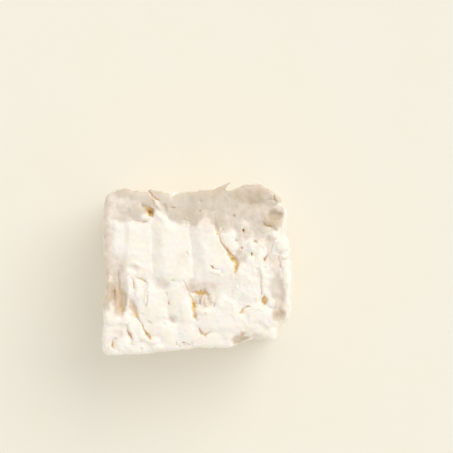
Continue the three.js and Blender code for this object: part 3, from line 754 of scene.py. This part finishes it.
def build_block():
    plain, cut = field()
    verts, quads = largest(*surface(settle(cut)))
    mesh = mesh_of("feta_curd", verts, quads)
    # fine grain of the curd, moved along the normal; the base stays flat
    normal = read(mesh, "normal")
    x, y, z = verts.T
    skin_and_shade = skin_and_shade_top(x, y) * smooth(40, 43, z)
    right = smooth(6, 20, x)
    grain = (0.075 + 0.05 * right) * noise3(x / 1.25, y / 1.25, z / 1.25, 71)
    grain += (0.04 + 0.03 * right) * noise3(x / 0.62, y / 0.62, z / 0.62, 72)
    grain *= (1 - 0.6 * skin_and_shade) * smooth(0.1, 1.2, z)
    verts = verts + normal * grain[:, None]
    verts[:, 2] = np.maximum(verts[:, 2], 0)
    mesh.vertices.foreach_set("co", verts.astype(np.float32).ravel())
    mesh.update()
    # thinned out where it is flat
    block = bpy.data.objects.new("feta_curd", mesh)
    bpy.context.scene.collection.objects.link(block)
    thin = block.modifiers.new("thin", "DECIMATE")
    thin.ratio = min(1.0, TRIANGLES / (2 * len(quads)))
    thin.use_collapse_triangulate = True
    deps = bpy.context.evaluated_depsgraph_get()
    final = bpy.data.meshes.new_from_object(block.evaluated_get(deps))
    block.modifiers.clear()
    block.data = final
    bpy.data.meshes.remove(mesh)
    final.name = "feta_curd"
    verts = read(final, "co")
    x, y, z = verts.T
    low = PLATEAU - 6.0 + 2.2 * noise3(x / 5, y / 5, z / 4, 82) + 1.0 * noise3(x / 1.8, y / 1.8, z / 1.5, 83)
    side = 1 - smooth(low - 2.4, low + 1.8, z)
    # depth below the plain top, which tints the openings with painted shade
    deep = np.clip(-sample(plain, verts), 0, 6) * (1 - 0.5 * side)
    patch = smooth(-0.1, 0.5, noise3(x / 7, y / 7, z / 5, 81))
    # the top's tint, partly painted shade, sits mostly on faces that look up; the sides get random beige patches
    facing_up = 0.35 + 0.65 * smooth(0.15, 0.65, read(final, "normal")[:, 2])
    skin_and_shade = np.maximum(skin_and_shade_top(x, y) * (1 - side) * facing_up, side * (0.10 + 0.20 * patch))
    for label, values in (("deep", deep), ("skin_and_shade", skin_and_shade)):
        attribute = final.attributes.new(label, "FLOAT", "POINT")
        attribute.data.foreach_set("value", values.astype(np.float32))
    moved = (verts + SHIFT) * 0.001
    final.vertices.foreach_set("co", moved.astype(np.float32).ravel())
    final.polygons.foreach_set("use_smooth", np.ones(len(final.polygons), dtype=bool))
    final.update()
    print("curd:", len(verts), "points", len(final.polygons), "triangles")
    return block


# ---------------------------------------------------------------- material


def srgb(r, g, b):
    return tuple((c / 255 / 12.92 if c / 255 <= 0.04045 else ((c / 255 + 0.055) / 1.055) ** 2.4) for c in (r, g, b)) + (1.0,)


def curd_material():
    mat = bpy.data.materials.new("curd")
    mat.use_nodes = True
    nt = mat.node_tree
    nodes, links = nt.nodes, nt.links
    bsdf = nodes["Principled BSDF"]

    def node(kind, **inputs):
        n = nodes.new(kind)
        for key, value in inputs.items():
            n.inputs[key].default_value = value
        return n

    def mix(kind, factor, a, b):
        m = nodes.new("ShaderNodeMix")
        m.data_type = "RGBA"
        m.blend_type = kind
        for socket, value in ((m.inputs[0], factor), (m.inputs[6], a), (m.inputs[7], b)):
            if isinstance(value, (int, float, tuple)):
                socket.default_value = value
            else:
                links.new(value, socket)
        return m.outputs[2]

    def ramp(value, lo, hi, out_lo=0.0, out_hi=1.0, kind="SMOOTHSTEP"):
        m = nodes.new("ShaderNodeMapRange")
        m.interpolation_type = kind
        m.inputs["From Min"].default_value = lo
        m.inputs["From Max"].default_value = hi
        m.inputs["To Min"].default_value = out_lo
        m.inputs["To Max"].default_value = out_hi
        links.new(value, m.inputs["Value"])
        return m.outputs["Result"]

    def noise(scale, detail=2.0, rough=0.5, shift=0.0):
        n = node("ShaderNodeTexNoise", Scale=scale, Detail=detail, Roughness=rough)
        if shift:
            move = nodes.new("ShaderNodeVectorMath")
            move.operation = "ADD"
            links.new(coord.outputs["Object"], move.inputs[0])
            move.inputs[1].default_value = (shift, shift * 0.7, -shift)
            links.new(move.outputs[0], n.inputs["Vector"])
        else:
            links.new(coord.outputs["Object"], n.inputs["Vector"])
        return n.outputs["Fac"]

    def attribute(name):
        n = nodes.new("ShaderNodeAttribute")
        n.attribute_name = name
        return n.outputs["Fac"]

    coord = nodes.new("ShaderNodeTexCoord")
    deep, skin_and_shade = attribute("deep"), attribute("skin_and_shade")

    # colour: bright curd; a greyer beige, partly a drier layer of the curd and partly painted shade; painted shade
    # in warm yellow and dark tan in the openings
    bright, cream = srgb(252, 243, 234), srgb(250, 239, 227)
    beige, tan = srgb(224, 213, 198), srgb(215, 201, 182)
    honey_shade, brown_shade, umber_shade = srgb(241, 214, 152), srgb(220, 182, 114), srgb(160, 118, 56)
    darkest_tone_and_shade = srgb(210, 190, 164)
    body = mix("MIX", ramp(noise(160, 3), 0.38, 0.66), bright, cream)
    skin_and_shade_colour = mix("MIX", ramp(noise(120, 3, shift=0.3), 0.36, 0.68), beige, tan)
    edge_noise = ramp(noise(420, 3, shift=0.7), 0.3, 0.7, -0.18, 0.18, "LINEAR")
    add = nodes.new("ShaderNodeMath")
    add.operation = "ADD"
    links.new(skin_and_shade, add.inputs[0])
    links.new(edge_noise, add.inputs[1])
    # the greyer beige where the mask is high: partly the curd's own tone, partly painted shade
    colour = mix("MIX", ramp(add.outputs[0], 0.05, 0.95), body, skin_and_shade_colour)
    # darker still where the patches pile up: mostly painted shade
    colour = mix("MIX", ramp(add.outputs[0], 0.9, 1.35, 0.0, 0.9), colour, darkest_tone_and_shade)
    speck = ramp(noise(900, 2, shift=1.1), 0.66, 0.74, 0.0, 0.35)
    colour = mix("MIX", speck, colour, srgb(240, 226, 196))
    pinkish_shade, olive_shade = srgb(236, 206, 174), srgb(206, 188, 116)
    uneven = nodes.new("ShaderNodeMath")
    uneven.operation = "MULTIPLY"
    links.new(deep, uneven.inputs[0])
    links.new(ramp(noise(700, 2, shift=3.7), 0.3, 0.7, 0.65, 1.3, "LINEAR"), uneven.inputs[1])
    deep = uneven.outputs[0]
    honey_shade = mix("MIX", ramp(noise(330, 2, shift=2.9), 0.42, 0.62), honey_shade, pinkish_shade)
    brown_shade = mix("MIX", ramp(noise(240, 2, shift=2.3), 0.44, 0.62), brown_shade, olive_shade)
    # painted shade in splits, pits and hollows: warmer and darker the deeper they go below the plain top
    colour = mix("MIX", ramp(deep, 0.25, 1.3, 0.0, 0.9), colour, honey_shade)
    colour = mix("MIX", ramp(deep, 0.9, 1.8, 0.0, 0.85), colour, brown_shade)
    colour = mix("MIX", ramp(deep, 1.5, 2.5, 0.0, 0.85), colour, umber_shade)
    links.new(colour, bsdf.inputs["Base Color"])

    # light goes a little way into the curd
    bsdf.subsurface_method = "RANDOM_WALK"
    bsdf.inputs["Subsurface Weight"].default_value = 0.6
    bsdf.inputs["Subsurface Radius"].default_value = (1.0, 0.72, 0.42)
    bsdf.inputs["Subsurface Scale"].default_value = 0.0016
    bsdf.inputs["Specular IOR Level"].default_value = 0.4
    bsdf.inputs["Coat Weight"].default_value = 0.06
    bsdf.inputs["Coat Roughness"].default_value = 0.35
    rough = ramp(noise(260, 3, shift=1.9), 0.3, 0.7, 0.42, 0.62, "LINEAR")
    links.new(rough, bsdf.inputs["Roughness"])

    # grain finer than the mesh
    grains = nodes.new("ShaderNodeTexVoronoi")
    grains.feature = "SMOOTH_F1"
    grains.inputs["Scale"].default_value = 1500
    grains.inputs["Smoothness"].default_value = 0.6
    links.new(coord.outputs["Object"], grains.inputs["Vector"])
    first = node("ShaderNodeBump", Strength=0.22, Distance=0.00012)
    links.new(grains.outputs["Distance"], first.inputs["Height"])
    second = node("ShaderNodeBump", Strength=0.35, Distance=0.00025)
    links.new(noise(1300, 4, 0.6), second.inputs["Height"])
    links.new(first.outputs["Normal"], second.inputs["Normal"])
    links.new(second.outputs["Normal"], bsdf.inputs["Normal"])
    return mat


def floor_material():
    mat = bpy.data.materials.new("floor")
    mat.use_nodes = True
    nodes, links = mat.node_tree.nodes, mat.node_tree.links
    bsdf = nodes["Principled BSDF"]
    bsdf.inputs["Roughness"].default_value = 0.7
    bsdf.inputs["Specular IOR Level"].default_value = 0.2
    coord = nodes.new("ShaderNodeTexCoord")
    n = nodes.new("ShaderNodeTexNoise")
    n.inputs["Scale"].default_value = 40
    links.new(coord.outputs["Object"], n.inputs["Vector"])
    m = nodes.new("ShaderNodeMix")
    m.data_type = "RGBA"
    m.inputs[6].default_value = srgb(241, 237, 225)
    m.inputs[7].default_value = srgb(240, 235, 219)
    links.new(n.outputs["Fac"], m.inputs[0])
    links.new(m.outputs[2], bsdf.inputs["Base Color"])
    return mat


# ---------------------------------------------------------------- scene

block = build_block()
block.data.materials.clear()
block.data.materials.append(curd_material())
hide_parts("feta_block")
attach(block, "root")

# flat floor that rises softly to a low backdrop all round
steps = 120
line = np.linspace(-2.4, 2.4, steps + 1)
fx, fy = np.meshgrid(line, line, indexing="ij")
fz = 0.6 * smooth(0.9, 2.2, np.hypot(fx, fy))
corner = (np.arange(steps)[:, None] * (steps + 1) + np.arange(steps)).ravel()
floor_mesh = mesh_of("floor", np.stack([fx, fy, fz], axis=-1).reshape(-1, 3), np.stack([corner, corner + steps + 1, corner + steps + 2, corner + 1], axis=1))
floor_mesh.polygons.foreach_set("use_smooth", np.ones(len(floor_mesh.polygons), dtype=bool))
floor = bpy.data.objects.new("floor", floor_mesh)
bpy.context.scene.collection.objects.link(floor)
floor.data.materials.append(floor_material())

scene = bpy.context.scene
world = bpy.data.worlds.new("studio")
world.use_nodes = True
world.node_tree.nodes["Background"].inputs["Color"].default_value = (1.0, 0.995, 0.985, 1)
world.node_tree.nodes["Background"].inputs["Strength"].default_value = 0.785
scene.world = world


key = bpy.data.lights.new("key", "SUN")
key.energy = 1.25
key.angle = math.radians(53)
key.color = (1.0, 0.995, 0.98)
lamp = bpy.data.objects.new("key", key)
lamp.rotation_euler = Vector((0.75, 0.72, 0.87)).to_track_quat("Z", "Y").to_euler()
scene.collection.objects.link(lamp)

# straight down, with the frame of the photograph: 167.8 mm across at the height of the top
cam = bpy.data.cameras.new("camera")
cam.lens = 100
cam.sensor_width = 36
camera = bpy.data.objects.new("camera", cam)
across = 167.8
camera.location = ((11.0 + SHIFT[0]) * 0.001, (15.93 + SHIFT[1]) * 0.001, (PLATEAU + 0.6 + across / 2 / (18 / 100)) * 0.001)
scene.collection.objects.link(camera)
scene.camera = camera
scene.view_settings.view_transform = "Standard"
scene.view_settings.look = "None"
